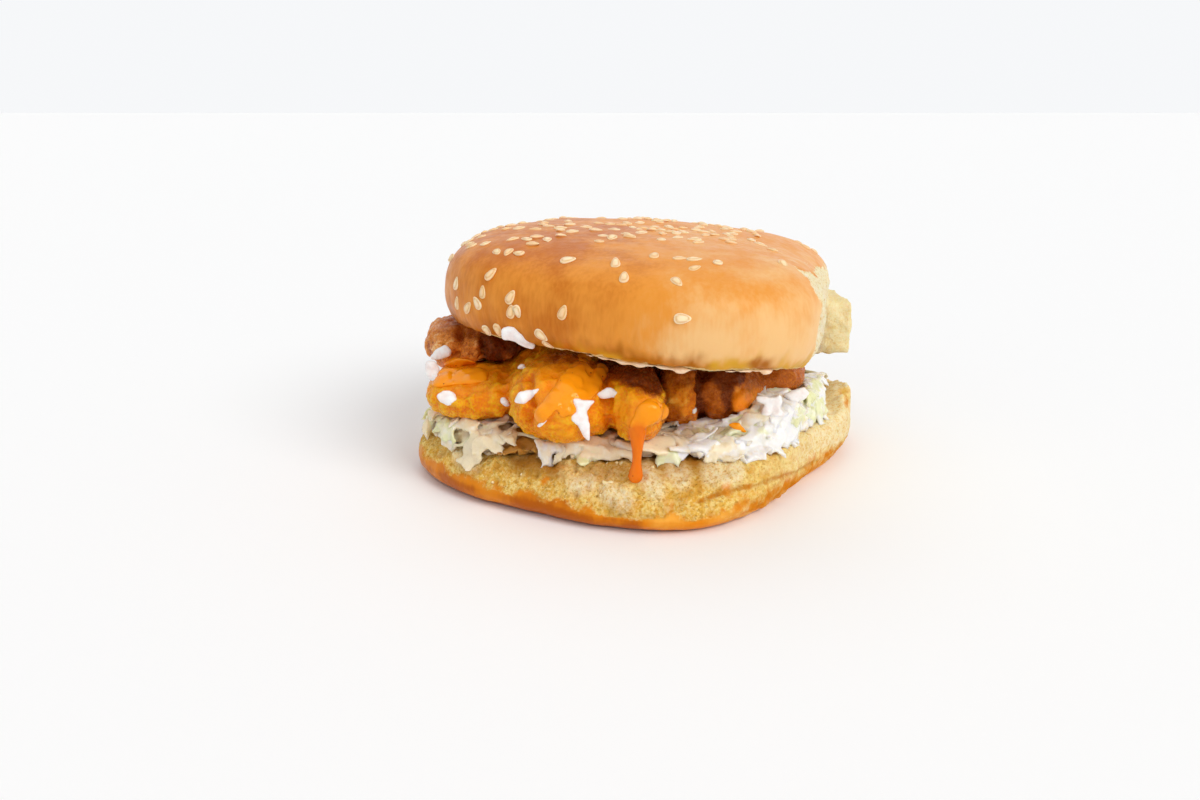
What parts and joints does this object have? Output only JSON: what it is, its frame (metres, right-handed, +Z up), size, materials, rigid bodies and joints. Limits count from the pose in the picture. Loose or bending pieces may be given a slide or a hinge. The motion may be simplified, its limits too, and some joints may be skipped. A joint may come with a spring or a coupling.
{
  "type": "aloo tikki burger",
  "caption": "Burger of a sesame bun with lumpy fried potato tikki pieces, shredded cabbage and orange sauce, leaning a little to one side.",
  "frame": {"origin": "on the table under the middle of the burger", "axes": "+Z up, -Y towards the side that shows most of the filling, +X towards the side that the upper half leans down to"},
  "size_m": [0.1153, 0.1135, 0.06],
  "materials": {
    "heel_crust": "golden baked crust with matt torn crumb",
    "top_crust": "satin baked crust",
    "cabbage": "moist, coated in white dressing",
    "sauced_batter": "rough fried batter under glossy orange sauce",
    "dark_batter": "dark fried batter, moist",
    "brown_batter": "brown fried batter, moist"
  },
  "bodies": {
    "root": {"bun_heel": "heel_crust", "bun_top": "top_crust", "shredded_cabbage": "cabbage", "tikki_front": "sauced_batter", "tikki_left": "dark_batter", "tikki_right": "brown_batter"}
  },
  "joints": []
}
